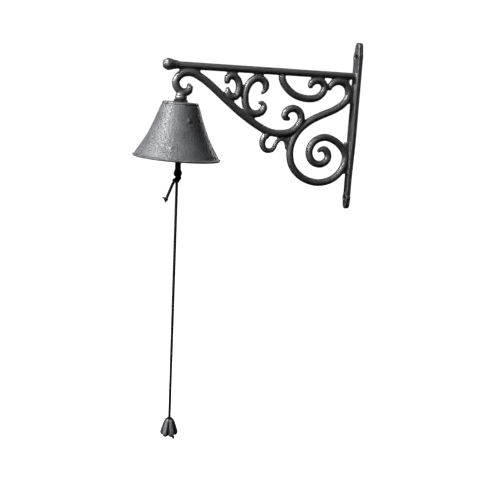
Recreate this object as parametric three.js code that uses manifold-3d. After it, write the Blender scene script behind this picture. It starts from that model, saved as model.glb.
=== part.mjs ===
// A wall mounted bell: a cast scroll bracket, a bell bolted under its hook, and a clapper on a pull cord.
// Millimetres, +Z up. The origin is the centre of the back plate's wall face. The wall is on the +Y
// side, so the bracket reaches out towards -Y, and its scrolls lie in the plane x = 0.
import * as THREE from 'three';
import { mergeVertices } from 'three/addons/utils/BufferGeometryUtils.js';
import Module from 'manifold-3d';

const wasm = await Module();
wasm.setup();

// ---- Driving dimensions ----
const GAP = 0.3; // clearance between neighbouring pieces

const PLATE_HEIGHT = 185;
const PLATE_WIDTH = 12.8;
const PLATE_TOP_WIDTH = 9.6; // above the upper screw
const PLATE_FOOT_WIDTH = 8.8; // below the spiral scroll
const PLATE_TAPER = [-20, -56]; // the heights between which it narrows to its foot
const PLATE_THICKNESS = 4.8;
const PLATE_TIP = 7; // length of the rounded point at the plate's lower end
const LUG_RISE = 0.4; // the screw lugs' faces stand this far proud of the plate
const UPPER_SCREW = { height: 77, lugRadius: 6.8, holeRadius: 3.1 };
const LOWER_SCREW = { height: -80, lugRadius: 5.2, holeRadius: 3 };

const BAR_RADIUS = 4; // scroll bars
const BAR_SIDES = 12;
const DOME_RINGS = 3; // rings in a bar's domed end
const ARM_RADIUS = 3.7;
const ARM_START = [0, 56.3]; // y and z where the arm meets the plate
const ARM_END = [-212, 57.4];
const KNOB_RADIUS = 6.1;
const KNOB_LENGTH = 12.4;
const KNOB_FACETS = 10;
// From the knob's tip to its neck: shares of its radius and of its half length.
const KNOB_PROFILE = [[0, 1], [0.62, 0.86], [1, 0.2], [0.94, -0.3], [0.74, -0.95], [0.68, -1.5], [0, -1.5]];
const KNOB_RISE = 0.3; // its middle above the arm's

const BELL_AXIS_Y = -203;
const BELL_TOP_Z = 20.6;
const BELL_LEAN = THREE.MathUtils.degToRad(-2.5); // the boss is cast a little off square
const BELL_HEIGHT = 58;
const BELL_TOP_RADIUS = 19;
const BELL_MOUTH_RADIUS = 46;
const BELL_WALL = 2.8;
const BELL_CROWN = 3; // thickness of the bell's flat top
const BELL_EDGE = 1.6; // radius of its top edge

const WASHER_THICKNESS = 2.2;
const SEAT_WASHER_RADIUS = 7.2;
const INNER_WASHER_RADIUS = 5.5;
const INNER_WASHER_THICKNESS = 1;
const BOSS_BASE_RADIUS = 6.1;
const BOSS_TOP_RADIUS = 4.9;
const BOSS_TOP = 9; // above the bell's top
const BOLT_RADIUS = 2.5; // M5
const NUT_ACROSS_FLATS = 8;
const NUT_HEIGHT = 4;
const BOLT_EYE_RADIUS = 4.2; // to the middle of the wire
const BOLT_WIRE = 1.5;
const BOLT_ENGAGEMENT = 9.5; // how far the bolt screws up into the boss and the hook

const LINK_WIRE = 1.3;
const LINK_HALF_WIDTH = 3.8;
const LINK_HALF_HEIGHT = 5.2;

const CLAPPER_EYE_RADIUS = 4;
const CLAPPER_WIRE = 1.6;
const BALL_RADIUS = 9.5;
const BALL_Z = -28;
const STEM_TOP_RADIUS = 2.7;
const STEM_FOOT_RADIUS = 3.2;
const CORD_EYE_Z = -53; // centre of the clapper's lower eye
const CORD_EYE_RADIUS = 3.2;

const CORD_RADIUS = 1.4;
const CORD_SIDES = 8;
const KNOT_RADIUS = 2.6;
const LOOP_TILT = 0.35; // radians; the cord's loop leans towards the wall
const STOPPER_RADIUS = 2.9;
const CORD_OFFSET = 0.7; // the cord hangs this far in front of the clapper's middle
const TAIL_ANGLE = 0.38; // radians off plumb
const TAIL_LENGTH = 18;
const TAIL_BEAD_RADIUS = 1.75;
const SHORT_END = [0, -5.4, 0.3]; // from the knot's middle to the tip of its short end
const PRONG_RADIUS = 0.9;
const PRONGS = [[-4.4, 2.9], [-0.6, -3.7], [3.1, -0.6]]; // y and z of the tail knot's strands
const STOPPER_END = [3.4, 4.9, -17]; // from the stopper knot's middle to the cord's cut end

const WEIGHT_TOP_Z = -332.5;
const WEIGHT_HEIGHT = 18.5;
const WEIGHT_BORE = 2.1;
const WEIGHT_LOBES = 6;
const WEIGHT_LOBE_DEPTH = 0.09; // share of the radius, at the lower edge
const WEIGHT_SCALLOP = 1;
const WEIGHT_CEILING = 5; // from the weight's top to the hollow under it
const WEIGHT_TURN = 0.17; // radians, which way the first lobe faces
// Radius and depth below the weight's top, down its outside and back up its inside.
const WEIGHT_OUTSIDE = [
  [2.9, 0], [3.6, 0.2], [5.6, 2.4], [7.1, 6.4], [8.3, 11], [9.1, 15], [9.5, WEIGHT_HEIGHT],
];
const WEIGHT_INSIDE = [[7.9, WEIGHT_HEIGHT], [7, 14], [5.9, 10], [4.6, 5.8], [3.4, WEIGHT_CEILING]];

// ---- Materials ----
const IRON = new THREE.MeshStandardMaterial({ color: 0x35363a, roughness: 0.55, metalness: 0.75 });
const BELL_IRON = new THREE.MeshStandardMaterial({ color: 0x77787a, roughness: 0.5, metalness: 0.8 });
const STEEL = new THREE.MeshStandardMaterial({ color: 0x8c8e90, roughness: 0.4, metalness: 0.9 });
const RUBBER = new THREE.MeshStandardMaterial({ color: 0x0e0e0f, roughness: 0.8, metalness: 0 });
const WEIGHT_IRON = new THREE.MeshStandardMaterial({ color: 0x4d4e50, roughness: 0.5, metalness: 0.75 });
const CORD = new THREE.MeshStandardMaterial({ color: 0x0b0b0c, roughness: 0.9, metalness: 0 });

// ---- Solids ----
function solid(geometry) {
  const plain = geometry.clone();
  plain.deleteAttribute('normal');
  plain.deleteAttribute('uv');
  const merged = mergeVertices(plain, 1e-4);
  return new wasm.Manifold(new wasm.Mesh({
    numProp: 3,
    vertProperties: merged.attributes.position.array,
    triVerts: new Uint32Array(merged.index.array),
  }));
}

// The largest body of a manifold solid, as a geometry: a cut can leave a sliver beside it.
function geometryOf(manifold) {
  const bodies = manifold.decompose().sort((a, b) => b.volume() - a.volume());
  const mesh = bodies[0].getMesh();
  const geometry = new THREE.BufferGeometry();
  geometry.setAttribute('position', new THREE.BufferAttribute(mesh.vertProperties, 3));
  geometry.setIndex(new THREE.BufferAttribute(mesh.triVerts, 1));
  geometry.computeVertexNormals();
  return geometry;
}

function union(geometries) {
  return geometries.map(solid).reduce((sum, next) => sum.add(next));
}

// A point in the bracket's plane, from its y and z.
const inPlane = ([y, z]) => new THREE.Vector3(0, y, z);

// The half outline of a bar along +Y: its radii with a domed end at each side.
function barProfile(length, radiusAt, step) {
  const first = radiusAt(0);
  const last = radiusAt(1);
  const start = [];
  const end = [];
  for (let i = 0; i <= DOME_RINGS; i++) {
    const angle = (i / DOME_RINGS) * Math.PI / 2;
    start.push(new THREE.Vector2(first * Math.sin(angle), first * (1 - Math.cos(angle))));
    end.unshift(new THREE.Vector2(last * Math.sin(angle), length - last * (1 - Math.cos(angle))));
  }
  const straight = [];
  const rings = Math.max(2, Math.round((length - first - last) / step));
  for (let i = 1; i < rings; i++) {
    const along = first + (length - first - last) * i / rings;
    straight.push(new THREE.Vector2(radiusAt(along / length), along));
  }
  return [...start, ...straight, ...end];
}

// A round bar with domed ends along a curve in the bracket's plane. It is a lathe spindle whose
// length is then laid along the curve. radiusAt takes the share of the length.
function bentBar(curve, radiusAt, step = 3) {
  const length = curve.getLength();
  const spindle = new THREE.LatheGeometry(barProfile(length, radiusAt, step), BAR_SIDES);
  const place = spindle.attributes.position;
  const at = new THREE.Vector3();
  const tangent = new THREE.Vector3();
  for (let i = 0; i < place.count; i++) {
    const across = place.getX(i);
    const deep = place.getZ(i);
    const share = THREE.MathUtils.clamp(place.getY(i) / length, 0, 1);
    curve.getPointAt(share, at);
    curve.getTangentAt(share, tangent);
    place.setXYZ(i, -deep, at.y - across * tangent.z, at.z + across * tangent.y);
  }
  return spindle;
}

// A scroll bar through the listed points: full radius in the middle, thinner at its two ends.
function scrollBar({ points, radius = BAR_RADIUS, startTip = 1, endTip = 1, taper = 14 }, grow) {
  const curve = new THREE.CatmullRomCurve3(points.map(inPlane));
  const length = curve.getLength();
  const radiusAt = (share) => {
    const along = share * length;
    const fromStart = THREE.MathUtils.smoothstep(along, 0, taper);
    const fromEnd = THREE.MathUtils.smoothstep(length - along, 0, taper);
    const start = THREE.MathUtils.lerp(startTip, 1, fromStart);
    const end = THREE.MathUtils.lerp(endTip, 1, fromEnd);
    return radius * start * end + grow;
  };
  return solid(bentBar(curve, radiusAt));
}

// A closed ring of wire: rx and rz are its half sizes, and plane says which way it faces.
function wireRing(rx, rz, wire, facesX) {
  const points = [];
  const count = 24;
  for (let i = 0; i < count; i++) {
    const angle = (i / count) * Math.PI * 2;
    const side = rx * Math.cos(angle);
    const up = rz * Math.sin(angle);
    points.push(facesX ? new THREE.Vector3(0, side, up) : new THREE.Vector3(side, 0, up));
  }
  const path = new THREE.CatmullRomCurve3(points, true);
  const section = new THREE.Shape().absarc(0, 0, wire, 0, Math.PI * 2);
  return new THREE.ExtrudeGeometry(section, { extrudePath: path, steps: 28, curveSegments: 5 });
}

// A lathe turned to stand along +Z, from a profile of [radius, height] pairs.
function turned(profile, sides) {
  const points = profile.map(([radius, height]) => new THREE.Vector2(radius, height));
  return new THREE.LatheGeometry(points, sides).rotateX(Math.PI / 2);
}

function disc(outer, inner, low, high, sides) {
  return turned([[inner, low], [outer, low], [outer, high], [inner, high], [inner, low]], sides);
}

function rod(radius, low, high, sides = 20) {
  return turned([[0, low], [radius, low], [radius, high], [0, high]], sides);
}

function polygon(radius, sides) {
  const corners = [];
  for (let i = 0; i < sides; i++) {
    const angle = (i / sides) * Math.PI * 2;
    corners.push(new THREE.Vector2(radius * Math.cos(angle), radius * Math.sin(angle)));
  }
  return new THREE.Shape(corners);
}

// A straight round stick between two points, for the cord's ends and prongs.
function stick(from, to, radius, sides = CORD_SIDES) {
  const line = new THREE.LineCurve3(from, to);
  return new THREE.ExtrudeGeometry(polygon(radius, sides), { extrudePath: line, steps: 1 });
}

// ---- The object ----
const bell = new THREE.Group();
bell.position.set(0, BELL_AXIS_Y, BELL_TOP_Z);
bell.rotation.x = BELL_LEAN;
bell.updateMatrix();
const object = new THREE.Group();
object.add(bell);

function add(name, geometry, material, parent = object) {
  const mesh = new THREE.Mesh(geometry, material);
  mesh.name = name;
  parent.add(mesh);
}

// ---- Wall plate: a narrow bar with two screw lugs ----
function plateOutline(grow) {
  const half = PLATE_WIDTH / 2 + grow;
  const topHalf = PLATE_TOP_WIDTH / 2 + grow;
  const footHalf = PLATE_FOOT_WIDTH / 2 + grow;
  const top = (PLATE_HEIGHT - PLATE_TOP_WIDTH) / 2;
  const low = -PLATE_HEIGHT / 2 + PLATE_TIP;
  const shape = new THREE.Shape();
  shape.moveTo(half, UPPER_SCREW.height);
  shape.lineTo(topHalf, top);
  shape.absarc(0, top, topHalf, 0, Math.PI);
  shape.lineTo(-half, UPPER_SCREW.height);
  shape.lineTo(-half, PLATE_TAPER[0]);
  shape.lineTo(-footHalf, PLATE_TAPER[1]);
  shape.lineTo(-footHalf, low);
  shape.absellipse(0, low, footHalf, PLATE_TIP + grow, Math.PI, Math.PI * 2);
  shape.lineTo(footHalf, PLATE_TAPER[1]);
  shape.lineTo(half, PLATE_TAPER[0]);
  shape.closePath();
  return shape;
}

// Extrudes an outline drawn in x and z through the plate's thickness.
function throughPlate(shape, front, back) {
  const options = { depth: back - front, bevelEnabled: false, curveSegments: 10 };
  return solid(new THREE.ExtrudeGeometry(shape, options).rotateX(Math.PI / 2).translate(0, back, 0));
}

function circle(radius, height) {
  return new THREE.Shape().absarc(0, height, radius, 0, Math.PI * 2);
}

function plateSolid(grow) {
  const front = -PLATE_THICKNESS - grow;
  let plate = throughPlate(plateOutline(grow), front, grow);
  for (const screw of [UPPER_SCREW, LOWER_SCREW]) {
    plate = plate.add(throughPlate(circle(screw.lugRadius + grow, screw.height), front - LUG_RISE, grow));
  }
  return plate;
}

function screwHole(screw) {
  return throughPlate(circle(screw.holeRadius, screw.height), -PLATE_THICKNESS - 1, 1);
}

// ---- Arm, knob and boss ----
function armSolid(grow) {
  const curve = new THREE.LineCurve3(inPlane(ARM_START), inPlane(ARM_END));
  return solid(bentBar(curve, () => ARM_RADIUS + grow, 24));
}

function knobSolid(grow) {
  const half = KNOB_LENGTH / 2;
  const profile = KNOB_PROFILE.map(([across, along]) => {
    const radius = across > 0 ? across * KNOB_RADIUS + grow : 0;
    return new THREE.Vector2(radius, -along * half);
  });
  const knob = new THREE.LatheGeometry(profile, KNOB_FACETS);
  return solid(knob.translate(0, ARM_END[0] - half * 0.75, ARM_END[1] + KNOB_RISE));
}

function inBellFrame(geometry) {
  return geometry.applyMatrix4(bell.matrix);
}

const BOSS_BASE = WASHER_THICKNESS + 2 * GAP;

function bossSolid(grow) {
  const base = BOSS_BASE_RADIUS + grow;
  const top = BOSS_TOP_RADIUS + grow;
  const profile = [[0, BOSS_BASE], [base, BOSS_BASE], [top, BOSS_TOP], [0, BOSS_TOP]];
  return solid(inBellFrame(turned(profile, 24)));
}

const boltHole = solid(inBellFrame(rod(BOLT_RADIUS + GAP, -1, BOSS_BASE + BOLT_ENGAGEMENT + GAP)));

// ---- The bracket's scrolls, each a list of the y and z that its middle passes through ----
const S_SCROLL = {
  points: [
    [-196.4, 39.4], [-193.2, 35], [-197, 30.8], [-202.5, 31], [-207.2, 34.8], [-208.8, 41.5], [-203, 48.8],
    [-192.5, 50.6], [-183, 46.7], [-173.4, 40.5], [-154.7, 25.5], [-136.2, 11.2], [-117, -1], [-104, -7],
    [-90, -8.8], [-77, -6], [-69, 1], [-66.3, 8.5], [-69.8, 16.2], [-76.5, 18.8], [-83.8, 16.2],
    [-86.4, 11], [-84, 7.6], [-79.6, 8],
  ],
  startTip: 0.5,
  endTip: 0.62,
  taper: 9,
};
const SPIRAL_SCROLL = {
  points: [
    [-34.6, 39.6], [-34.4, 43.8], [-30, 48.4], [-23, 50], [-14.4, 46.4], [-10.8, 37.5], [-14.4, 28],
    [-25.8, 19.5], [-42, 12.6], [-57, 5], [-70, -6.8], [-77.2, -24], [-74.4, -42.6], [-61.8, -56],
    [-42, -62.4],
    [-23.6, -58.6], [-11.8, -47.4], [-8.4, -32], [-17.8, -18.8], [-35, -11.6], [-49.3, -16.8],
    [-54.2, -28.4], [-49.3, -38.8], [-37.8, -41.5], [-30.4, -35.4], [-32.4, -27], [-38.2, -24.4],
    [-43.8, -28],
  ],
  startTip: 0.7,
  endTip: 0.5,
  taper: 12,
};
const J_SCROLL = {
  points: [
    [-93.3, 54], [-89.2, 44.1], [-76.8, 33.6], [-58.5, 29.7], [-46.8, 32.8], [-40.6, 42], [-44.8, 48.8],
    [-52.6, 49.4], [-57.8, 45.6], [-57.2, 40.8],
  ],
  radius: 3.9,
  endTip: 0.8,
  taper: 6,
};
const LARGE_C_SCROLL = {
  points: [
    [-115, 32.6], [-110.4, 37.4], [-110.6, 43.8], [-115, 48], [-121.2, 48.6], [-129, 43], [-133, 32.4],
    [-130.8, 17.8], [-123.8, 11.8], [-114.6, 12.8], [-110.8, 18.8], [-112.8, 23], [-118, 23.4],
  ],
  radius: 3.9,
  startTip: 0.45,
  endTip: 0.45,
  taper: 13,
};
const SMALL_C_SCROLL = {
  points: [
    [-152.2, 41.4], [-154.2, 46.2], [-148.4, 50], [-142, 45.8], [-139.9, 38], [-142.8, 29], [-149.6, 28.8],
    [-152.6, 33.4], [-152.6, 38.2],
  ],
  radius: 3.8,
  startTip: 0.88,
  endTip: 0.6,
  taper: 7,
};
const LOOP_SCROLL = {
  points: [
    [-102.8, -9.2], [-108.8, -13.2], [-110.6, -20.3], [-106.4, -27], [-98, -26.4], [-94.2, -18.6],
    [-89, -14.4], [-84.6, -15.4], [-81.8, -20], [-81.4, -26],
  ],
  radius: 2.3,
  startTip: 1.65,
  taper: 40,
};

// Each member of the casting is cut back by those before it, so that they meet with a small gap.
const members = [
  ['wall_plate', plateSolid],
  ['top_arm', armSolid],
  ['arm_knob', knobSolid],
  ['spiral_scroll', (grow) => scrollBar(SPIRAL_SCROLL, grow)],
  ['s_scroll', (grow) => scrollBar(S_SCROLL, grow)],
  ['j_scroll', (grow) => scrollBar(J_SCROLL, grow)],
  ['c_scroll_large', (grow) => scrollBar(LARGE_C_SCROLL, grow)],
  ['c_scroll_small', (grow) => scrollBar(SMALL_C_SCROLL, grow)],
  ['loop_scroll', (grow) => scrollBar(LOOP_SCROLL, grow)],
  ['bell_boss', bossSolid],
];
const holes = {
  wall_plate: [screwHole(UPPER_SCREW), screwHole(LOWER_SCREW)],
  s_scroll: [boltHole],
  bell_boss: [boltHole],
};
const cutters = [];
for (const [name, shape] of members) {
  let member = shape(0);
  for (const cutter of [...cutters, ...(holes[name] ?? [])]) member = member.subtract(cutter);
  cutters.push(shape(GAP));
  add(name, geometryOf(member), IRON);
}

// ---- Bell and what holds it, in the bell's own leaning frame ----
// The flank's outer radius, drawn through the radii and depths that give the bell its flare.
const flank = new THREE.SplineCurve([
  new THREE.Vector2(BELL_TOP_RADIUS, BELL_EDGE),
  new THREE.Vector2(23, 12.5),
  new THREE.Vector2(26.6, 22),
  new THREE.Vector2(31.6, 33.5),
  new THREE.Vector2(36.9, 43),
  new THREE.Vector2(41.6, 50.8),
  new THREE.Vector2(BELL_MOUTH_RADIUS, BELL_HEIGHT),
]);

function bellProfile() {
  const outer = [];
  for (let i = 0; i <= 3; i++) {
    const angle = (i / 3) * Math.PI / 2;
    const radius = BELL_TOP_RADIUS - BELL_EDGE * (1 - Math.sin(angle));
    outer.push([radius, -BELL_EDGE * (1 - Math.cos(angle))]);
  }
  for (let i = 1; i <= 10; i++) {
    const { x, y } = flank.getPointAt(i / 10);
    outer.push([x, -y]);
  }
  const inner = [];
  for (let i = 10; i >= 0; i--) {
    const { x, y } = flank.getPointAt(i / 10);
    inner.push([x - BELL_WALL, Math.min(-y, -BELL_CROWN)]);
  }
  const hole = BOLT_RADIUS + GAP;
  return [[hole, -BELL_CROWN], [hole, 0], ...outer, ...inner, [hole, -BELL_CROWN]].reverse();
}

const seatWasher = disc(SEAT_WASHER_RADIUS, BOLT_RADIUS + GAP, GAP, GAP + WASHER_THICKNESS, 28);
add('seat_washer', seatWasher, RUBBER, bell);
add('bell_shell', turned(bellProfile(), 56), BELL_IRON, bell);

const innerWasherTop = -BELL_CROWN - GAP;
const nutTop = innerWasherTop - INNER_WASHER_THICKNESS - GAP;
const innerWasher = disc(INNER_WASHER_RADIUS, BOLT_RADIUS + GAP, nutTop + GAP, innerWasherTop, 24);
add('inner_washer', innerWasher, STEEL, bell);

function bellNut() {
  const hexagon = rod(NUT_ACROSS_FLATS / Math.sqrt(3), nutTop - NUT_HEIGHT, nutTop, 6);
  const hole = rod(BOLT_RADIUS + GAP, nutTop - NUT_HEIGHT - 1, nutTop + 1);
  return geometryOf(solid(hexagon).subtract(solid(hole)));
}
add('bell_nut', bellNut(), STEEL, bell);

const boltEyeZ = nutTop - NUT_HEIGHT - 0.8 - BOLT_EYE_RADIUS - BOLT_WIRE;
function eyeBolt() {
  const shank = rod(BOLT_RADIUS, boltEyeZ + BOLT_EYE_RADIUS, BOSS_BASE + BOLT_ENGAGEMENT);
  const eye = wireRing(BOLT_EYE_RADIUS, BOLT_EYE_RADIUS, BOLT_WIRE, true).translate(0, 0, boltEyeZ);
  return geometryOf(union([shank, eye]));
}
add('eye_bolt', eyeBolt(), STEEL, bell);

// ---- Link and clapper, hanging plumb from the bolt's eye ----
// The link's top wire lies just above the lowest wire of the bolt's eye.
const linkPivot = new THREE.Vector3(0, 0, boltEyeZ - BOLT_EYE_RADIUS + BOLT_WIRE + GAP + LINK_WIRE)
  .applyMatrix4(bell.matrix);
const hangY = linkPivot.y;
const linkZ = linkPivot.z - LINK_HALF_HEIGHT;
const clapperPivotZ = linkZ - LINK_HALF_HEIGHT + LINK_WIRE + GAP + CLAPPER_WIRE;
const clapperEyeZ = clapperPivotZ - CLAPPER_EYE_RADIUS;

const link = wireRing(LINK_HALF_WIDTH, LINK_HALF_HEIGHT, LINK_WIRE, false).translate(0, hangY, linkZ);
add('clapper_link', link, STEEL);

function clapper() {
  const stem = turned([
    [0, CORD_EYE_Z + CORD_EYE_RADIUS - 0.6],
    [STEM_FOOT_RADIUS, CORD_EYE_Z + CORD_EYE_RADIUS + 0.8],
    [STEM_FOOT_RADIUS, BALL_Z - BALL_RADIUS],
    [STEM_TOP_RADIUS, BALL_Z + BALL_RADIUS],
    [STEM_TOP_RADIUS, clapperEyeZ - CLAPPER_EYE_RADIUS - 1],
    [0, clapperEyeZ - CLAPPER_EYE_RADIUS],
  ], 16);
  const ball = new THREE.SphereGeometry(BALL_RADIUS, 24, 16).rotateX(Math.PI / 2).translate(0, 0, BALL_Z);
  const topEye = wireRing(CLAPPER_EYE_RADIUS, CLAPPER_EYE_RADIUS, CLAPPER_WIRE, true);
  const cordEye = wireRing(CORD_EYE_RADIUS, CORD_EYE_RADIUS, CLAPPER_WIRE, true);
  const pieces = [stem, ball, topEye.translate(0, 0, clapperEyeZ), cordEye.translate(0, 0, CORD_EYE_Z)];
  return geometryOf(union(pieces)).translate(0, hangY, 0);
}
add('clapper', clapper(), IRON);

// ---- Cord: a loop through the clapper's lower eye, its knot, the hanging length and its tail ----
const cordY = hangY - CORD_OFFSET;
const cordLoopRadius = CLAPPER_WIRE + GAP + CORD_RADIUS;
const knotZ = CORD_EYE_Z - CORD_EYE_RADIUS - CLAPPER_WIRE - GAP - KNOT_RADIUS;
const stopperZ = WEIGHT_TOP_Z - WEIGHT_CEILING - GAP - STOPPER_RADIUS;

function cordKnot() {
  const loop = wireRing(cordLoopRadius, cordLoopRadius, CORD_RADIUS, false);
  const loopFoot = new THREE.Vector3(0, 0, -CORD_EYE_RADIUS - cordLoopRadius);
  const toEye = new THREE.Matrix4().makeRotationX(LOOP_TILT).setPosition(0, CORD_OFFSET, CORD_EYE_Z);
  loop.translate(0, 0, -CORD_EYE_RADIUS).applyMatrix4(toEye);
  loopFoot.applyMatrix4(toEye);
  const knot = new THREE.SphereGeometry(KNOT_RADIUS, 14, 10).rotateX(Math.PI / 2).translate(0, 0, knotZ);
  const middle = new THREE.Vector3(0, 0, knotZ);
  const throat = stick(loopFoot, middle, CORD_RADIUS * 0.86);
  const end = stick(middle, middle.clone().add(new THREE.Vector3(...SHORT_END)), CORD_RADIUS);
  return geometryOf(union([loop, throat, knot, end])).translate(0, cordY, 0);
}
add('cord_knot', cordKnot(), CORD);

// The hanging length is plumb, so its route is one straight run from the knot to the stopper knot.
const CORD_ROUTE = [
  new THREE.Vector3(0, cordY, knotZ - KNOT_RADIUS - GAP),
  new THREE.Vector3(0, cordY, -130),
  new THREE.Vector3(0, cordY, -200),
  new THREE.Vector3(0, cordY, -270),
  new THREE.Vector3(0, cordY, stopperZ + STOPPER_RADIUS + GAP),
];
const cordPath = { extrudePath: new THREE.CatmullRomCurve3(CORD_ROUTE), steps: 40 };
add('pull_cord', new THREE.ExtrudeGeometry(polygon(CORD_RADIUS, CORD_SIDES), cordPath), CORD);

const tailWay = new THREE.Vector3(0, -Math.sin(TAIL_ANGLE), -Math.cos(TAIL_ANGLE));
const tailStart = new THREE.Vector3(0, cordY - KNOT_RADIUS - 1.2, knotZ - 1.9);
const tailEnd = tailStart.clone().addScaledVector(tailWay, TAIL_LENGTH);
add('cord_tail', stick(tailStart, tailEnd, CORD_RADIUS), CORD);

// The tail ends in a small knot whose three strands stick out.
function tailKnot() {
  const centre = tailEnd.clone().addScaledVector(tailWay, GAP + TAIL_BEAD_RADIUS);
  const bead = new THREE.SphereGeometry(TAIL_BEAD_RADIUS, 10, 8).translate(centre.x, centre.y, centre.z);
  const prongs = PRONGS.map((way) => stick(centre, centre.clone().add(inPlane(way)), PRONG_RADIUS, 6));
  return geometryOf(union([bead, ...prongs]));
}
add('tail_knot', tailKnot(), CORD);

// The stopper knot holds the weight up, and the cord's cut end shows below the weight.
function stopperKnot() {
  const knot = new THREE.SphereGeometry(STOPPER_RADIUS, 14, 10).rotateX(Math.PI / 2);
  const end = stick(new THREE.Vector3(), new THREE.Vector3(...STOPPER_END), CORD_RADIUS * 0.9);
  return geometryOf(union([knot, end])).translate(0, cordY, stopperZ);
}
add('stopper_knot', stopperKnot(), CORD);

// ---- Pull weight: a hollow fluted flower with a scalloped lower edge ----
function pullWeight() {
  const skin = [...WEIGHT_OUTSIDE, ...WEIGHT_INSIDE].map(([radius, depth]) => [radius, -depth]);
  const profile = [[WEIGHT_BORE, -WEIGHT_CEILING], [WEIGHT_BORE, 0], ...skin, [WEIGHT_BORE, -WEIGHT_CEILING]];
  const flower = turned(profile.reverse(), WEIGHT_LOBES * 8);
  const place = flower.attributes.position;
  for (let i = 0; i < place.count; i++) {
    const angle = Math.atan2(place.getY(i), place.getX(i));
    const share = -place.getZ(i) / WEIGHT_HEIGHT;
    const wave = Math.cos(WEIGHT_LOBES * (angle - WEIGHT_TURN));
    const swell = 1 + WEIGHT_LOBE_DEPTH * share * wave;
    const drop = WEIGHT_SCALLOP * share ** 3 * wave;
    place.setXYZ(i, place.getX(i) * swell, place.getY(i) * swell, place.getZ(i) - drop);
  }
  return flower.translate(0, cordY, WEIGHT_TOP_Z);
}
add('pull_weight', pullWeight(), WEIGHT_IRON);

export default object;
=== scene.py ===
import math

import bpy
import numpy as np
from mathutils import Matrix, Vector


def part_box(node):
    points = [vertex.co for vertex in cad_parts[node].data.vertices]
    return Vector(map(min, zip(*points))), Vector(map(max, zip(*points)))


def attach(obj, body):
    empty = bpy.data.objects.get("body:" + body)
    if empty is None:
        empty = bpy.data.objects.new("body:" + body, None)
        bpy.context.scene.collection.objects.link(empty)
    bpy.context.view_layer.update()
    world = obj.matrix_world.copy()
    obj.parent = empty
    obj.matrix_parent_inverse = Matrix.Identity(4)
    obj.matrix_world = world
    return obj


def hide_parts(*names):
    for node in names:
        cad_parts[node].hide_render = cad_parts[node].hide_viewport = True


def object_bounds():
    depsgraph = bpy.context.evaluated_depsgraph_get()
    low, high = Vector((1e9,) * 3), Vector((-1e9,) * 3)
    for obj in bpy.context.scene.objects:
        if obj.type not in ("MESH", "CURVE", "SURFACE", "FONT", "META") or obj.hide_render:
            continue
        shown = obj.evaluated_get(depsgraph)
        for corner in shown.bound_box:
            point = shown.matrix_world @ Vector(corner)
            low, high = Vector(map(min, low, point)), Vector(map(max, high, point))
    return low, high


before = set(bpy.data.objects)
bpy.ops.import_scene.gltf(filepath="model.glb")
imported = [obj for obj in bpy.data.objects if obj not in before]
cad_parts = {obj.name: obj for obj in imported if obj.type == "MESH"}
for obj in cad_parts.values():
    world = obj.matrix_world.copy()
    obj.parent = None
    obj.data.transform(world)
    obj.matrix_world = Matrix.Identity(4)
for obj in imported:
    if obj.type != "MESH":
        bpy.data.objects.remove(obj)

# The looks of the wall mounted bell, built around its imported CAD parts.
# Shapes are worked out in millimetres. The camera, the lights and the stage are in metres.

import openvdb
from mathutils import Matrix, Vector

CAD_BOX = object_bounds()
MM = 0.001
COARSE = 1

# ---- Driving values ----
CAMERA_AZIMUTH = 70  # degrees, as the elevation and the roll
CAMERA_ELEVATION = 12.5
CAMERA_ROLL = 3
CAMERA_DISTANCE = 0.7756
CAMERA_LENS = 52.5
CAMERA_SENSOR = 36
AIM_OFFSET = Vector((0, -0.0046, 0.0060))  # from the middle of the CAD box

LIGHT_AIM = Vector((0, -0.12, 0))  # the middle of the bracket
LIGHT_DISTANCE = 1.3
LIGHTS = [  # name, way from the aim, size, power
    ("key", (0.15, -0.82, 0.57), (0.5, 0.5), 70),
    ("fill", (0.90, -0.40, 0.45), (0.9, 0.9), 5),
    ("edge", (-0.72, 0.66, 0.25), (0.15, 0.9), 5),
]
WORLD_LOBES = [  # middle, cosine where it starts, cosine where it is full, full strength
    ((0, 0, 1), 0.0, 0.95, 0.26),
    ((-0.94, 0.34, 0), 0.72, 0.95, 0.35),
]
STAGE_SIZE = 12
FLOOR_DROP = 0.5  # below the CAD box

CASTING_NODES = [
    "wall_plate", "top_arm", "arm_knob", "spiral_scroll", "s_scroll", "j_scroll",
    "c_scroll_large", "c_scroll_small", "loop_scroll", "bell_boss",
]
BELL_WALL = 2.8
BELL_CROWN = 3  # thickness of the flat top
BELL_EDGE = 1.6  # rounding of the shoulder
BELL_HOLE = 2.85  # radius
BELL_SIDES = 192
BELL_NUBS = [  # casting marks: depth, angle in degrees, height, spread
    (17.3, 8.7, 1.2, 1.7),
    (44.5, -23.1, 1.0, 1.6),
]
BOSS_BEADS = [(4.6, 5.75), (7.2, 5.15)]  # height above the bell, radius
BOSS_BEAD_THICKNESS = 0.55
CORD_RADIUS = 1.4
CORD_LEVELS = (-130, -200, -270)  # heights that the hanging cord's route passes
BRAID_STRANDS = 6
BRAID_DEPTH = 0.2  # the strands stand this far out of the cord's nominal radius
BRAID_LEAD = 1.6  # a strand's rise per radian, in cord radii
CUT_END = 0.8  # length of a cut end's rounding, in cord radii
CUT_FACE = 0.03  # a cut end's flat share of the section
CORD_STEP = 0.4
KNOT_STEP = 0.35
KNOT_RADIUS = 2.6
EYE_RADIUS = 3.2  # the clapper's lower eye, to the middle of its wire
EYE_WIRE = 1.6
LOOP_RADIUS = 3.3
LOOP_TILT = 0.35
WEIGHT_LOBES = 6
WEIGHT_TURN = 0.17
LOBE_COLUMNS = 28
LOBE_FULLNESS = 1.7
FLUTE_START = 2.4  # radius where the flutes begin
FLUTE_FADE = 2.2
FLUTE_DEPTH = 0.2  # share of the radius, doubled at the mouth
BLUR_REACH = 2.5  # in sigmas
CRISP_BLUR = 0.45  # share of the blur that is kept in a crisp zone
ZONE_FADE = 1.5
FAR_OUTSIDE = 10.0


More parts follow.
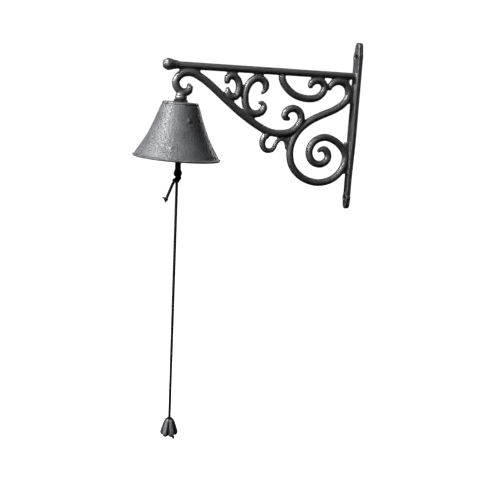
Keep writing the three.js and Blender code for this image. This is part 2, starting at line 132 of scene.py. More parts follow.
# ---- The frame's own places, in millimetres ----
def box_mm(node):
    low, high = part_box(node)
    return np.array(low) / MM, np.array(high) / MM


def middle(node):
    low, high = box_mm(node)
    return (low + high) / 2


bell_origin = middle("seat_washer")
bell_down = middle("inner_washer") - bell_origin
bell_down /= np.linalg.norm(bell_down)


# ---- Camera ----
def make_camera():
    a = math.radians(CAMERA_AZIMUTH)
    e = math.radians(CAMERA_ELEVATION)
    roll = math.radians(CAMERA_ROLL)
    right = Vector((math.cos(a), math.sin(a), 0))
    back = Vector((math.sin(a) * math.cos(e), -math.cos(a) * math.cos(e), math.sin(e)))
    up = back.cross(right)
    rolled_right = right * math.cos(roll) + up * math.sin(roll)
    rolled_up = up * math.cos(roll) - right * math.sin(roll)
    data = bpy.data.cameras.new("camera")
    data.lens = CAMERA_LENS
    data.sensor_width = CAMERA_SENSOR
    camera = bpy.data.objects.new("camera", data)
    bpy.context.scene.collection.objects.link(camera)
    aim = (CAD_BOX[0] + CAD_BOX[1]) / 2 + AIM_OFFSET
    turn = Matrix((rolled_right, rolled_up, back)).transposed().to_4x4()
    camera.matrix_world = Matrix.Translation(aim + back * CAMERA_DISTANCE) @ turn
    bpy.context.scene.camera = camera


make_camera()


# ---- Mesh helpers ----
def mesh_object(name, points, faces):
    """A smooth-shaded object from points in millimetres."""
    mesh = bpy.data.meshes.new(name)
    corners = (np.asarray(points) * MM).tolist()
    mesh.from_pydata(corners, [], [tuple(int(i) for i in f) for f in faces])
    mesh.update()
    mesh.validate()
    mesh.shade_smooth()
    made = bpy.data.objects.new(name, mesh)
    bpy.context.scene.collection.objects.link(made)
    return made


def grid_faces(rows, columns, closed_rows=False):
    """Quads between rows of points; each row is a closed ring of columns points."""
    faces = []
    last = rows if closed_rows else rows - 1
    for i in range(last):
        row = i * columns
        below = (i + 1) % rows * columns
        for j in range(columns):
            k = (j + 1) % columns
            faces.append((row + j, row + k, below + k, below + j))
    return faces


def smooth_path(points, step):
    """Points along a Catmull-Rom curve through the given points, about step apart."""
    p = np.asarray(points, float)
    p = np.vstack([2 * p[0] - p[1], p, 2 * p[-1] - p[-2]])
    out = []
    for i in range(1, len(p) - 2):
        count = max(2, int(np.linalg.norm(p[i + 1] - p[i]) / step))
        for t in np.arange(count) / count:
            out.append(0.5 * (
                2 * p[i] + (p[i + 1] - p[i - 1]) * t
                + (2 * p[i - 1] - 5 * p[i] + 4 * p[i + 1] - p[i + 2]) * t ** 2
                + (3 * p[i] - p[i - 1] - 3 * p[i + 1] + p[i + 2]) * t ** 3
            ))
    out.append(p[-2])
    return np.array(out)


def braided_tube(route, radius, step, sides=20):
    """Points and faces of a braided cord along a route, with rounded ends."""
    path = smooth_path(route, step)
    tangents = np.gradient(path, axis=0)
    tangents /= np.linalg.norm(tangents, axis=1)[:, None]
    side = np.cross(tangents[0], (0.3, 1, 0.2))
    along = np.concatenate([[0], np.cumsum(np.linalg.norm(np.diff(path, axis=0), axis=1))])
    angles = np.arange(sides) * 2 * math.pi / sides
    points = []
    for centre, tangent, s in zip(path, tangents, along):
        side = side - tangent * (side @ tangent)
        side /= np.linalg.norm(side)
        other = np.cross(tangent, side)
        twist = s / (radius * BRAID_LEAD)
        one = np.cos(BRAID_STRANDS / 2 * (angles + twist)) ** 2
        two = np.cos(BRAID_STRANDS / 2 * (angles - twist)) ** 2
        end = min(s, along[-1] - s)
        dome = math.sqrt(max(CUT_FACE, 1 - max(0, 1 - end / (CUT_END * radius)) ** 2))
        r = (radius - BRAID_DEPTH * (1 - np.maximum(one, two))) * dome
        ring = np.outer(r * np.cos(angles), side) + np.outer(r * np.sin(angles), other)
        points.append(centre + ring)
    rows = len(points)
    faces = grid_faces(rows, sides)
    faces.append(tuple(range(sides))[::-1])
    faces.append(tuple((rows - 1) * sides + j for j in range(sides)))
    return np.vstack(points), faces


def joined(parts):
    """One list of points and faces from several."""
    points, faces, start = [], [], 0
    for p, f in parts:
        points.append(p)
        faces += [tuple(i + start for i in face) for face in f]
        start += len(p)
    return np.vstack(points), faces


def turned(profile, sides, shape=None):
    """A closed ring of (radius, depth) points turned about an axis; shape may change the radii."""
    angles = np.arange(sides) * 2 * math.pi / sides
    points = []
    for radius, depth in profile:
        r = np.full(sides, float(radius)) if shape is None else shape(radius, depth, angles)
        height = np.full(sides, -depth)
        points.append(np.column_stack([r * np.cos(angles), r * np.sin(angles), height]))
    return np.vstack(points), grid_faces(len(profile), sides, closed_rows=True)


def in_bell_frame(points, origin):
    """Moves points made about +Z to stand along the bell's axis, measured from origin."""
    z = -bell_down
    x = np.array([1.0, 0, 0])
    y = np.cross(z, x)
    return origin + points @ np.vstack([x, y, z])


# ---- Casting: CAD nodes fused into one body with fillets ----
def cad_mesh(nodes):
    """Points in millimetres and triangles of CAD nodes."""
    points, triangles, start = [], [], 0
    for name in nodes:
        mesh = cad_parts[name].data
        mesh.calc_loop_triangles()
        co = np.array([v.co for v in mesh.vertices]) / MM
        points.append(co)
        triangles += [tuple(i + start for i in t.vertices) for t in mesh.loop_triangles]
        start += len(co)
    return np.vstack(points), np.array(triangles)


def slab(low, high):
    """Points and faces of a box between two corners."""
    points = np.array([
        (x, y, z) for x in (low[0], high[0]) for y in (low[1], high[1]) for z in (low[2], high[2])
    ], float)
    faces = [(0, 1, 3, 2), (4, 6, 7, 5), (0, 4, 5, 1), (2, 3, 7, 6), (0, 2, 6, 4), (1, 5, 7, 3)]
    return points, faces


def in_triangles(faces):
    """Each face as a fan of triangles."""
    return np.array([(f[0], f[i], f[i + 1]) for f in faces for i in range(1, len(f) - 1)])


def level_set(points, voxel, reach, triangles=None, quads=None):
    """A signed distance field of a closed surface, reach voxels to each side of it."""
    transform = openvdb.createLinearTransform(voxelSize=voxel)
    return openvdb.FloatGrid.createLevelSetFromPolygons(
        np.ascontiguousarray(points, np.float32),
        triangles=None if triangles is None else np.ascontiguousarray(triangles, np.uint32),
        quads=None if quads is None else np.ascontiguousarray(quads, np.uint32),
        transform=transform, halfWidth=reach,
    )


def blurred(field, sigma):
    """The field after a Gaussian blur, sigma in voxels."""
    reach = int(math.ceil(BLUR_REACH * sigma))
    weights = np.exp(-0.5 * (np.arange(-reach, reach + 1) / sigma) ** 2)
    weights /= weights.sum()
    for axis in range(3):
        margins = [(reach, reach) if a == axis else (0, 0) for a in range(3)]
        padded = np.pad(field, margins, mode="edge")
        total = np.zeros_like(field)
        for i, w in enumerate(weights):
            cut = [slice(None)] * 3
            cut[axis] = slice(i, i + field.shape[axis])
            total += np.float32(w) * padded[tuple(cut)]
        field = total
    return field


def in_zone(zone, low, shape, voxel):
    """1 inside a box-shaped zone, falling to 0 within ZONE_FADE outside it."""
    total = np.ones(shape, np.float32)
    for axis in range(3):
        place = (np.arange(shape[axis]) + low[axis]) * voxel
        off = np.maximum(np.maximum(zone[0][axis] - place, place - zone[1][axis]), 0)
        share = np.clip(1 - off / ZONE_FADE, 0, 1).astype(np.float32)
        total *= share.reshape([-1 if a == axis else 1 for a in range(3)])
    return total


def recast(name, nodes, voxel, fillet, blur, extra=(), grow=0.0, crisp=()):
    """One smooth body from CAD nodes: hollow corners filled, edges softened, facets gone.

    fillet is the radius that fills the corners, blur the softening and grow the skin added at
    the end. Inside the crisp zones the edges are softened less. The body stays in the nodes' box.
    """
    voxel = voxel * COARSE
    points, triangles = cad_mesh(nodes)
    for more_points, faces in extra:
        triangles = np.vstack([triangles, in_triangles(faces) + len(points)])
        points = np.vstack([points, more_points])
    grid = level_set(points, triangles=triangles, voxel=voxel, reach=fillet / voxel + 2)
    outer, quads = grid.convertToQuads(isovalue=fillet)
    reach = (fillet + BLUR_REACH * blur) / voxel + 2
    grid = level_set(outer, quads=quads, voxel=voxel, reach=reach)
    low, high = grid.evalActiveVoxelBoundingBox()
    field = np.full(np.array(high) - np.array(low) + 1, grid.background, np.float32)
    grid.copyToArray(field, ijk=low)
    field += np.float32(fillet)
    soft = blurred(field, blur / voxel)
    if crisp:
        share = np.zeros_like(field)
        for zone in crisp:
            share = np.maximum(share, in_zone(zone, low, field.shape, voxel))
        soft += share * (blurred(field, CRISP_BLUR * blur / voxel) - soft)
    smooth = openvdb.FloatGrid(FAR_OUTSIDE)
    smooth.copyFromArray(soft - np.float32(grow), ijk=low, tolerance=0.0)
    smooth.transform = openvdb.createLinearTransform(voxelSize=voxel)
    final, faces = smooth.convertToQuads(isovalue=0.0)
    limits = np.array([box_mm(node) for node in nodes])
    inside = np.clip(final, limits[:, 0].min(axis=0), limits[:, 1].max(axis=0))
    return mesh_object(name, inside, faces[:, ::-1])


# ---- Materials ----
class Nodes:
    """Short names for building a node material."""

    def __init__(self, name):
        self.material = bpy.data.materials.new(name)
        self.material.use_nodes = True
        self.tree = self.material.node_tree
        self.shader = self.tree.nodes["Principled BSDF"]
        self.place = self.tree.nodes.new("ShaderNodeTexCoord").outputs["Object"]

    def link(self, output, socket):
        self.tree.links.new(output, socket)

    def noise(self, size_mm, detail, roughness=0.5):
        node = self.tree.nodes.new("ShaderNodeTexNoise")
        node.inputs["Scale"].default_value = 1 / (size_mm * MM)
        node.inputs["Detail"].default_value = detail
        node.inputs["Roughness"].default_value = roughness
        self.link(self.place, node.inputs["Vector"])
        return node.outputs["Fac"]

    def ramp(self, value, stops):
        """Colours, or single greys, at places along the value."""
        node = self.tree.nodes.new("ShaderNodeValToRGB")
        elements = node.color_ramp.elements
        while len(elements) < len(stops):
            elements.new(0.5)
        for element, (place, colour) in zip(elements, stops):
            element.position = place
            grey = not hasattr(colour, "__len__")
            element.color = (colour, colour, colour, 1) if grey else (*colour, 1)
        self.link(value, node.inputs["Fac"])
        return node.outputs["Color"]

    def multiply(self, one, two):
        node = self.tree.nodes.new("ShaderNodeMix")
        node.data_type = "RGBA"
        node.blend_type = "MULTIPLY"
        node.inputs[0].default_value = 1.0  # the factor; 6 and 7 are the two colours
        self.link(one, node.inputs[6])
        self.link(two, node.inputs[7])
        return node.outputs[2]

    def bump(self, height, distance_mm, strength=1.0, under=None):
        node = self.tree.nodes.new("ShaderNodeBump")
        node.inputs["Strength"].default_value = strength
        node.inputs["Distance"].default_value = distance_mm * MM
        self.link(height, node.inputs["Height"])
        if under is not None:
            self.link(under, node.inputs["Normal"])
        return node.outputs["Normal"]


def cast_iron(name, dark, light, roughness, grain_mm=0.8, relief_mm=0.12, specular=0.5):
    """Painted sand casting: pebbled grain over broad waves, paler and smoother on high grains."""
    made = Nodes(name)
    broad = made.noise(9, 3)
    grain = made.noise(grain_mm, 3, 0.6)
    colour = made.ramp(broad, [(0.3, dark), (0.7, light)])
    specks = made.ramp(grain, [(0.35, 0.72), (0.65, 1.0)])
    made.link(made.multiply(colour, specks), made.shader.inputs["Base Color"])
    made.link(made.ramp(grain, [(0.3, roughness + 0.12), (0.75, roughness - 0.06)]),
              made.shader.inputs["Roughness"])
    made.shader.inputs["Specular IOR Level"].default_value = specular
    waves = made.bump(broad, 0.5, 0.6)
    made.link(made.bump(grain, relief_mm, 1.0, waves), made.shader.inputs["Normal"])
    return made.material


def fluted_iron_painted_shade(name):
    """The weight's iron: a grainy tone, with painted shade that darkens it in the flutes, in the
    rolled-in mouth and round the bore.
    """
    made = Nodes(name)
    attribute = made.tree.nodes.new("ShaderNodeAttribute")
    attribute.attribute_name = "groove"
    grain = made.noise(0.9, 3, 0.6)
    worn = made.ramp(grain, [(0.35, (0.03, 0.0303, 0.0322)), (0.7, (0.13, 0.131, 0.139))])
    # painted shade: the groove mask darkens the base colour to 4 % in the flutes, the rolled-in
    # mouth and round the bore
    dark = made.ramp(attribute.outputs["Fac"], [(0.05, 1.0), (0.4, 0.04)])
    made.link(made.multiply(worn, dark), made.shader.inputs["Base Color"])
    made.link(made.ramp(grain, [(0.3, 0.62), (0.75, 0.45)]), made.shader.inputs["Roughness"])
    made.link(made.bump(grain, 0.08), made.shader.inputs["Normal"])
    return made.material


def zinc_steel(name):
    made = Nodes(name)
    spots = made.noise(2.5, 3)
    made.link(made.ramp(spots, [(0.3, 0.30), (0.7, 0.46)]), made.shader.inputs["Base Color"])
    made.link(made.ramp(spots, [(0.3, 0.42), (0.7, 0.28)]), made.shader.inputs["Roughness"])
    made.shader.inputs["Metallic"].default_value = 1.0
    made.link(made.bump(made.noise(0.35, 2), 0.02), made.shader.inputs["Normal"])
    return made.material


def black_rubber(name):
    made = Nodes(name)
    dust = made.noise(1.5, 3)
    made.link(made.ramp(dust, [(0.3, 0.003), (0.8, 0.008)]), made.shader.inputs["Base Color"])
    made.shader.inputs["Roughness"].default_value = 0.85
    made.shader.inputs["Specular IOR Level"].default_value = 0.15
    made.link(made.bump(made.noise(0.4, 2), 0.03), made.shader.inputs["Normal"])
    return made.material


def cord_fibre(name):
    """Black synthetic braid with fine fibres."""
    made = Nodes(name)
    fibre = made.noise(0.25, 3, 0.6)
    made.link(made.ramp(fibre, [(0.3, 0.003), (0.75, 0.010)]), made.shader.inputs["Base Color"])
    made.shader.inputs["Roughness"].default_value = 0.9
    made.shader.inputs["Specular IOR Level"].default_value = 0.05
    made.link(made.bump(fibre, 0.05), made.shader.inputs["Normal"])
    return made.material


IRON = cast_iron("bracket_paint", (0.013, 0.0132, 0.0145), (0.026, 0.0263, 0.0285), 0.47,
                 grain_mm=1.3, relief_mm=0.2, specular=1.0)
BELL_IRON = cast_iron("bell_paint", (0.040, 0.041, 0.0435), (0.062, 0.0635, 0.067), 0.52,
                      grain_mm=2.2, relief_mm=0.5, specular=0.4)
CLAPPER_IRON = cast_iron("clapper_paint", (0.010, 0.010, 0.011), (0.022, 0.022, 0.024), 0.5)
WEIGHT_IRON = fluted_iron_painted_shade("weight_paint_flute_shade")
STEEL = zinc_steel("zinc_steel")
RUBBER = black_rubber("washer_rubber")
CORD = cord_fibre("cord_fibre")


def finish_piece(piece, material, body, slot, *nodes):
    """Gives a piece its material and its body, and hides the CAD nodes it replaces; slot is not
    used.
    """
    piece.data.materials.clear()
    piece.data.materials.append(material)
    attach(piece, body)
    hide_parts(*nodes)
    return piece


# ---- Pull cord, from the knot under the clapper to the stopper knot in the weight ----
cord_low, cord_high = box_mm("pull_cord")
cord_y = middle("pull_cord")[1]
CORD_ROUTE = [(0, cord_y, z) for z in (cord_high[2], *CORD_LEVELS, cord_low[2])]


def pull_cord():
    points, faces = braided_tube(CORD_ROUTE, CORD_RADIUS + BRAID_DEPTH, CORD_STEP * COARSE)
    piece = mesh_object("braided_pull_cord", points, faces)
    return finish_piece(piece, CORD, "cord", "cord_black", "pull_cord")


# ---- Knot at the clapper's eye: loop, wraps round the cord, short end and tail ----
KNOT = np.array([0, cord_y, box_mm("cord_knot")[0][2] + KNOT_RADIUS])


def tail_end():
    """The middle of the tail's low end face, which slopes."""
    low = box_mm("cord_tail")[0]
    return np.array([0, low[1] + CORD_RADIUS * 0.93, low[2] + CORD_RADIUS * 0.37])


def eye_loop():
    """The route from the knot up through the clapper's eye and back."""
    eye = np.array([0, middle("clapper")[1], box_mm("clapper")[0][2] + EYE_RADIUS + EYE_WIRE])
    out = np.array([0, math.sin(LOOP_TILT), -math.cos(LOOP_TILT)])
    side = np.array([1.0, 0, 0])
    ring = [eye + EYE_RADIUS * out + LOOP_RADIUS * (math.sin(a) * side + math.cos(a) * out)
            for a in np.radians([52, 90, 135, 180, 225, 270, 308])]
    return np.array([KNOT + (0.9, 0.3, -0.6), *ring, KNOT + (-0.9, 0.3, -0.6)])


def eye_knot():
    step = KNOT_STEP * COARSE
    turns = np.linspace(0.2, 2.35, 24)
    angle = -turns * 2 * math.pi
    wraps = np.column_stack([1.6 * np.cos(angle), 1.6 * np.sin(angle), 2.3 - (turns - 0.2) * 1.75])
    short_end = [(1.5, 1.0, 0.5), (1.0, -1.6, 0.9), (0.2, -3.2, 0.6), (0, -5.0, 0.3)]
    tail = [
        (-1.2, 1.2, -0.9), (-1.8, -0.8, -1.3), (-1.0, -2.7, -1.5), (0, -3.9, -2.7), (0, -5.2, -5.6),
    ]
    standing = [(0, 0, -1.0), (0, 0, -3.0), (0, 0, -5.2)]
    start = tail_end()
    way = (start - KNOT - tail[-1]) / np.linalg.norm(start - KNOT - tail[-1])
    tail_route = [*(KNOT + np.array(tail)), start, start + way * 2.4]
    parts = [
        braided_tube(eye_loop(), CORD_RADIUS + 0.15, step),
        braided_tube(KNOT + wraps, CORD_RADIUS, step),
        braided_tube(KNOT + np.array(short_end), CORD_RADIUS + 0.1, step),
        braided_tube(tail_route, CORD_RADIUS + BRAID_DEPTH, step),
        braided_tube(KNOT + np.array(standing), CORD_RADIUS + BRAID_DEPTH, step),
    ]
    piece = mesh_object("eye_knot_and_tail", *joined(parts))
    return finish_piece(piece, CORD, "cord", "cord_black", "cord_knot", "cord_tail")


def overhand(size, tall):
    """The closed middle of an overhand knot, as a trefoil."""
    t = np.linspace(0, 2 * math.pi, 48)
    x = size * (np.sin(t) + 2 * np.sin(2 * t))
    y = size * (np.cos(t) - 2 * np.cos(2 * t))
    return np.column_stack([x, y, tall * np.sin(3 * t)])


def tail_knot():
    """A small overhand knot whose three cut strands stick out."""
    low, high = box_mm("tail_knot")
    centre = tail_end() + (0, -0.76, -1.9)
    up_left = np.array([0, low[1] + 0.75, centre[2] + 2.7]) - centre
    down = np.array([0, -0.6, low[2] + 0.8 - centre[2]])
    right = np.array([0, high[1] - 0.8 - centre[1], -0.5])
    parts = [braided_tube(centre + overhand(0.45, 0.6)[:, [2, 0, 1]], 1.0, 0.3)]
    for end, bend in ((up_left, (0.3, 0.5, 0.4)), (down, (-0.3, 0.3, 0)), (right, (0.2, 0, 0.5))):
        strand = [(0, 0, 0), end * 0.5 + bend, end]
        parts.append(braided_tube(centre + np.array(strand), 0.95, 0.25, 12))
    piece = mesh_object("tail_end_knot", *joined(parts))
    return finish_piece(piece, CORD, "cord", "cord_black", "tail_knot")


def stopper_knot():
    """The overhand knot that carries the weight, and the cord's cut end below it."""
    low, high = box_mm("stopper_knot")
    centre = np.array([0, cord_y, cord_low[2] - 3.2])
    tip = np.array([high[0] - 1.2, high[1] - 1.2, low[2] + 0.7]) - centre
    end = [(0.3, 0.2, -0.5), tip * 0.3 + (0.4, 0, 0), tip * 0.65 + (0.3, 0.3, 0), tip]
    core = [(0, 0, 3.1), (0.1, 0.1, 1.5), (0, 0, 0)]
    parts = [
        braided_tube(centre + overhand(0.52, 1.1), 1.1, 0.3),
        braided_tube(centre + np.array(end), CORD_RADIUS, 0.3),
        braided_tube(centre + np.array(core), CORD_RADIUS, 0.3),
    ]
    piece = mesh_object("weight_stopper_knot", *joined(parts))
    return finish_piece(piece, CORD, "cord", "cord_black", "stopper_knot")


# ---- Pull weight: a bell flower with full lobes, deep flutes and a scalloped, rolled-in edge ----
def weight_profile(height):
    """Radius and depth down the outside, then up the inside and the bore."""
    outer = [
        (2.1, 2.2), (2.5, 1.3), (3.1, 0.3), (3.6, 0.1), (4.3, 0.7), (5.3, 2.2), (6.3, 4.4),
        (7.2, 7), (8.1, 9.8), (9, 12.6), (9.7, 15), (9.8, 16.2), (9.4, 17.3), (8.9, height - 0.2),
    ]
    inner = [
        (8.4, height), (7.9, height - 0.5), (7.4, 16), (6.7, 13), (5.9, 10), (4.9, 7.2),
        (3.6, 5.5), (2.4, 5),
    ]
    bore = [(2.1, 4.5), (2.1, 3.2)]
    bent = [smooth_path([(r, d, 0) for r, d in part], 0.45)[:, :2] for part in (outer, inner)]
    return np.vstack([*bent, bore])


def pull_weight():
    low, high = box_mm("pull_weight")
    top = high[2]
    height = top - low[2] - 1
    sides = WEIGHT_LOBES * LOBE_COLUMNS
    angles = np.arange(sides) * 2 * math.pi / sides
    lobe = np.abs(np.cos(WEIGHT_LOBES / 2 * (angles - WEIGHT_TURN)))
    petal = 1 - (1 - lobe) ** LOBE_FULLNESS
    points, groove = [], []
    for radius, depth in weight_profile(height):
        share = min(1.0, max(0.0, depth / height))
        fade = min(1.0, max(0.0, (radius - FLUTE_START) / FLUTE_FADE))
        cut = fade * (FLUTE_DEPTH + FLUTE_DEPTH * share)
        r = radius * (1.03 - cut * (1 - petal))
        down = depth + share ** 5 * (0.9 - 1.1 * (1 - petal))
        points.append(np.column_stack([r * np.cos(angles), r * np.sin(angles), -down]))
        # painted shade: the groove mask marks the flutes, the rolled-in mouth and the bore, where
        # the weight's material darkens its colour
        shade = max(depth - height + 2.6, 3.7 - radius)
        groove.append(np.maximum(fade * (1 - petal), min(1.0, max(0.0, shade))))
    points = np.vstack(points) + (0, cord_y, top)
    faces = grid_faces(len(groove), sides, closed_rows=True)
    piece = mesh_object("fluted_weight", points, faces)
    mark = piece.data.attributes.new("groove", "FLOAT", "POINT")
    mark.data.foreach_set("value", np.concatenate(groove).astype(np.float32))
    return finish_piece(piece, WEIGHT_IRON, "weight", "weight_iron", "pull_weight")


# ---- Bell ----
def turned_rows(node):
    """Depth below the seat washer's middle, outer and inner radius of a turned node's rows."""
    co = np.array([v.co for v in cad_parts[node].data.vertices]) / MM - bell_origin
    depth = co @ bell_down
    radius = np.linalg.norm(co - np.outer(depth, bell_down), axis=1)
    rows = []
    for level in np.unique(np.round(depth, 1)):
        here = radius[np.abs(depth - level) < 0.06]
        rows.append((level, here.max(), here.min()))
    return rows


def bell_profile():
    """Radius and depth below the bell's top, round its section from the middle of the top."""
    rows = turned_rows("bell_shell")
    top = rows[0][0]
    shoulder = rows[0][1]
    skin = []
    for depth, outer, _ in rows:
        widest = skin[-1][0] if skin else shoulder + BELL_EDGE
        if depth - top > BELL_EDGE + 0.1 and outer > widest:
            skin.append((outer, depth - top))
    corner = [(shoulder + BELL_EDGE * math.sin(a), BELL_EDGE * (1 - math.cos(a)))
              for a in np.linspace(0.15, math.pi / 2, 6)]
    flank = smooth_path([(r, d, 0) for r, d in [corner[-1], *skin]], 1.2)[:, :2]
    neck = flank[1][0]
    groove = [(neck - 0.15, 1.9), (neck - 0.5, 2.3), (neck - 0.5, 2.8), (neck - 0.05, 3.3)]
    mouth, height = flank[-1]
    outside = [tuple(p) for p in flank if 4 < p[1] < height - 3.4]
    bead = [
        (mouth - 2.0, height - 3.1), (mouth - 1.1, height - 2.3), (mouth - 0.3, height - 1.9),
        (mouth, height - 1.5), (mouth - 0.15, height - 0.8), (mouth - 0.5, height - 0.3),
        (mouth - 1.2, height), (mouth - BELL_WALL + 0.5, height), (mouth - BELL_WALL, height - 0.5),
    ]
    inside = [(r - BELL_WALL, d) for r, d in flank[::-1] if 5.5 < d < height - 0.8]
    bend = inside[-1][0]
    crown = [(bend - 0.6, 4.2), (bend - 1.9, 3.3), (11, BELL_CROWN), (6, BELL_CROWN)]
    hole = [(BELL_HOLE, BELL_CROWN), (BELL_HOLE, 0.3), (BELL_HOLE + 0.3, 0)]
    roof = [(6, 0), (11, 0), (15, 0)]
    return top, [*hole, *roof, *corner, *groove, *outside, *bead, *inside, *crown]


def bell_shell():
    top, profile = bell_profile()
    height = max(d for _, d in profile)
    sides = BELL_SIDES // COARSE
    outside = {p for p in profile[:len(profile) // 2] if 4 < p[1] < height - 4}

    def shape(radius, depth, angles):
        r = np.full(sides, float(radius))
        if (radius, depth) not in outside:
            return r
        r += 0.07 * np.sin(3 * angles + depth * 0.11) + 0.05 * np.sin(7 * angles - depth * 0.23)
        for nub_depth, nub_angle, nub_height, spread in BELL_NUBS:
            off = np.angle(np.exp(1j * (angles - math.radians(nub_angle)))) * radius
            r += nub_height * np.exp(-(off ** 2 + (depth - nub_depth) ** 2) / spread ** 2)
        return r

    points, faces = turned(profile, sides, shape)
    piece = mesh_object("bell_casting", in_bell_frame(points, bell_origin + bell_down * top), faces)
    return finish_piece(piece, BELL_IRON, "bracket", "bell_iron", "bell_shell")


# ---- Washers and nut on the bell's axis ----
def ring_piece(node, name, edge, material, slot):
    """A flat washer with softened edges."""
    rows = turned_rows(node)
    top, bottom = rows[0][0], rows[-1][0]
    outer, inner = rows[0][1], rows[0][2]
    profile = [
        (inner, top + edge), (inner + edge * 0.3, top + edge * 0.3), (inner + edge, top),
        (outer - edge, top), (outer - edge * 0.3, top + edge * 0.3), (outer, top + edge),
        (outer, bottom - edge), (outer - edge * 0.3, bottom - edge * 0.3), (outer - edge, bottom),
        (inner + edge, bottom), (inner + edge * 0.3, bottom - edge * 0.3), (inner, bottom - edge),
    ]
    points, faces = turned(profile, 64)
    piece = mesh_object(name, in_bell_frame(points, bell_origin), [f[::-1] for f in faces])
    return finish_piece(piece, material, "bracket", slot, node)


def hex_nut():
    """A hexagon nut with its corners turned down at both faces."""
    rows = turned_rows("bell_nut")
    top, bottom = rows[0][0], rows[-1][0]
    across = rows[0][1]
    hole = rows[0][2]
    sides = 96
    levels = [(hole, top + 0.5), (hole + 0.5, top), (across * 0.86, top)]
    body = [(across, top + d) for d in (0.12, 0.35, 0.7, 1.1)]
    body += [(across, bottom - d) for d in (1.1, 0.7, 0.35, 0.12)]
    profile = [*levels, *body, (across * 0.86, bottom), (hole + 0.5, bottom), (hole, bottom - 0.5)]

    def shape(radius, depth, angles):
        if radius < across:
            return np.full(sides, float(radius))
        flat = across * math.cos(math.pi / 6)
        hexagon = flat / np.cos((angles % (math.pi / 3)) - math.pi / 6)
        depth_in = min(depth - top, bottom - depth)
        return np.minimum(hexagon, across * 0.87 + depth_in * 1.75)

    points, faces = turned(profile, sides, shape)
    piece = mesh_object("hex_nut", in_bell_frame(points, bell_origin), [f[::-1] for f in faces])
    return finish_piece(piece, STEEL, "bracket", "zinc_steel", "bell_nut")


# ---- Bracket casting ----
def casting_webs():
    """The thin webs that the mould left where two bars nearly touch, and the boss's two beads."""
    under_arm = box_mm("top_arm")[0][2] + 0.6
    plate_front = box_mm("wall_plate")[0][1] + 1
    # hook to arm, crown to arm, crown to plate, spiral to plate, and the small loop to the spiral
    webs = [
        slab((-1.9, -203.0, under_arm - 3.4), (1.9, -184.0, under_arm + 2)),
        slab((-1.9, -21.0, 46.5), (1.9, -11.6, under_arm + 2)),
        slab((-2.2, -10.5, 26.5), (2.2, plate_front, 46.0)),
        slab((-2.2, -10.5, -52.0), (2.2, plate_front, -16.5)),
        slab((-1.9, -81.0, -19.0), (1.9, -76.5, -13.0)),
    ]
    size = BOSS_BEAD_THICKNESS
    for height, radius in BOSS_BEADS:
        ring = [(radius + size * math.cos(a), size * math.sin(a) - height)
                for a in np.linspace(0, 5.5, 8)]
        points, faces = turned(ring, 48)
        webs.append((in_bell_frame(points, bell_top()), faces))
    return webs


def bell_top():
    return bell_origin + bell_down * turned_rows("bell_shell")[0][0]


def bracket_casting():
    plate = ((-20, box_mm("wall_plate")[0][1] - 0.5, -100), (20, 5, 100))
    knob = tuple(box_mm("arm_knob"))
    boss = tuple(box_mm("bell_boss"))
    piece = recast("bracket_casting", CASTING_NODES, voxel=0.5, fillet=0.9, blur=0.55,
                   extra=casting_webs(), grow=0.2, crisp=(plate, knob, boss))
    return finish_piece(piece, IRON, "bracket", "bracket_iron", *CASTING_NODES)


# ---- Stage: a pale floor and backdrop that only the camera sees, and soft lights ----
def pale_paint(name):
    made = Nodes(name)
    patches = made.noise(400, 2)
    made.link(made.ramp(patches, [(0.3, 0.86), (0.7, 0.9)]), made.shader.inputs["Base Color"])
    made.shader.inputs["Roughness"].default_value = 0.9
    made.shader.inputs["Emission Color"].default_value = (1, 1, 1, 1)
    made.shader.inputs["Emission Strength"].default_value = 1.0
    return made.material


def stage_sheet(name, corners, paint):
    mesh = bpy.data.meshes.new(name)
    mesh.from_pydata(corners, [], [tuple(range(len(corners)))])
    sheet = bpy.data.objects.new(name, mesh)
    bpy.context.scene.collection.objects.link(sheet)
    mesh.materials.append(paint)
    sheet.visible_diffuse = False
    sheet.visible_glossy = False
    sheet.visible_shadow = False


def make_backdrop():
    """A floor, four walls and a ceiling of plain pale paint, far outside the object."""
    paint = pale_paint("pale_paint")
    low = CAD_BOX[0].z - FLOOR_DROP
    r, high = STAGE_SIZE, STAGE_SIZE
    stage_sheet("floor", [(-r, -r, low), (r, -r, low), (r, r, low), (-r, r, low)], paint)
    stage_sheet("ceiling", [(-r, -r, high), (-r, r, high), (r, r, high), (r, -r, high)], paint)
    around = [(-r, -r), (r, -r), (r, r), (-r, r)]
    for i, (x0, y0) in enumerate(around):
        x1, y1 = around[(i + 1) % 4]
        corners = [(x0, y0, low), (x0, y0, high), (x1, y1, high), (x1, y1, low)]
        stage_sheet(f"wall_{i}", corners, paint)


def soft_light(name, way, size, power):
    """A rectangular soft light this way from LIGHT_AIM, facing it."""
    data = bpy.data.lights.new(name, "AREA")
    data.shape = "RECTANGLE"
    data.size, data.size_y = size
    data.energy = power
    light = bpy.data.objects.new(name, data)
    way = Vector(way).normalized()
    light.location = LIGHT_AIM + way * LIGHT_DISTANCE
    light.rotation_mode = "QUATERNION"
    light.rotation_quaternion = way.to_track_quat("Z", "Y")
    bpy.context.scene.collection.objects.link(light)


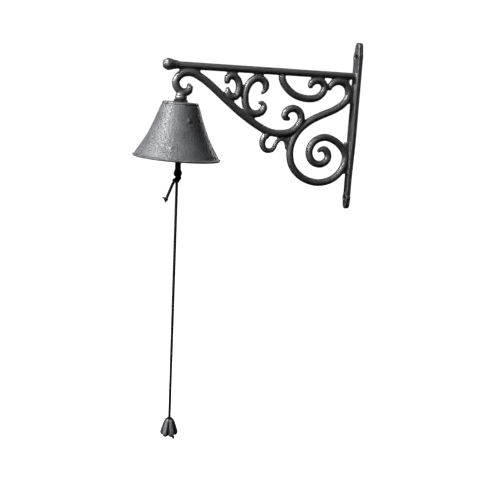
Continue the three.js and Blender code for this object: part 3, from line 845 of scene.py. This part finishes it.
def make_world():
    """Dark from below, brighter from above, and brightest low on the side behind the bracket."""
    world = bpy.data.worlds.new("studio")
    world.use_nodes = True
    tree = world.node_tree
    place = tree.nodes.new("ShaderNodeTexCoord").outputs["Generated"]

    def lobe(way, start, end, strength):
        dot = tree.nodes.new("ShaderNodeVectorMath")
        dot.operation = "DOT_PRODUCT"
        dot.inputs[1].default_value = Vector(way).normalized()
        tree.links.new(place, dot.inputs[0])
        span = tree.nodes.new("ShaderNodeMapRange")
        span.interpolation_type = "SMOOTHSTEP"
        span.inputs["From Min"].default_value = start
        span.inputs["From Max"].default_value = end
        span.inputs["To Min"].default_value = 0.0
        span.inputs["To Max"].default_value = strength
        tree.links.new(dot.outputs["Value"], span.inputs["Value"])
        return span.outputs["Result"]

    total = tree.nodes.new("ShaderNodeMath")
    total.operation = "ADD"
    for i, values in enumerate(WORLD_LOBES):
        tree.links.new(lobe(*values), total.inputs[i])
    back = tree.nodes["Background"]
    back.inputs["Color"].default_value = (1, 1, 1, 1)
    tree.links.new(total.outputs[0], back.inputs["Strength"])
    bpy.context.scene.world = world


def make_stage():
    make_backdrop()
    make_world()
    for name, way, size, power in LIGHTS:
        soft_light(name, way, size, power)
    bpy.context.scene.view_settings.view_transform = "Standard"


# ---- Everything, cords first ----
cord = pull_cord()
knot_pieces = [eye_knot(), tail_knot(), stopper_knot()]
weight = pull_weight()
bracket_casting()
bell_shell()
ring_piece("seat_washer", "rubber_washer", 0.35, RUBBER, "washer_rubber")
ring_piece("inner_washer", "steel_washer", 0.15, STEEL, "zinc_steel")
hex_nut()
finish_piece(recast("forged_eye_bolt", ["eye_bolt"], voxel=0.2, fillet=0.6, blur=0.3, grow=0.03),
             STEEL, "bracket", "zinc_steel", "eye_bolt")
finish_piece(recast("oval_link", ["clapper_link"], voxel=0.16, fillet=0.3, blur=0.25, grow=0.03),
             STEEL, "link", "zinc_steel", "clapper_link")
finish_piece(recast("cast_clapper", ["clapper"], voxel=0.35, fillet=1.0, blur=0.5, grow=0.05),
             CLAPPER_IRON, "clapper", "clapper_iron", "clapper")
make_stage()
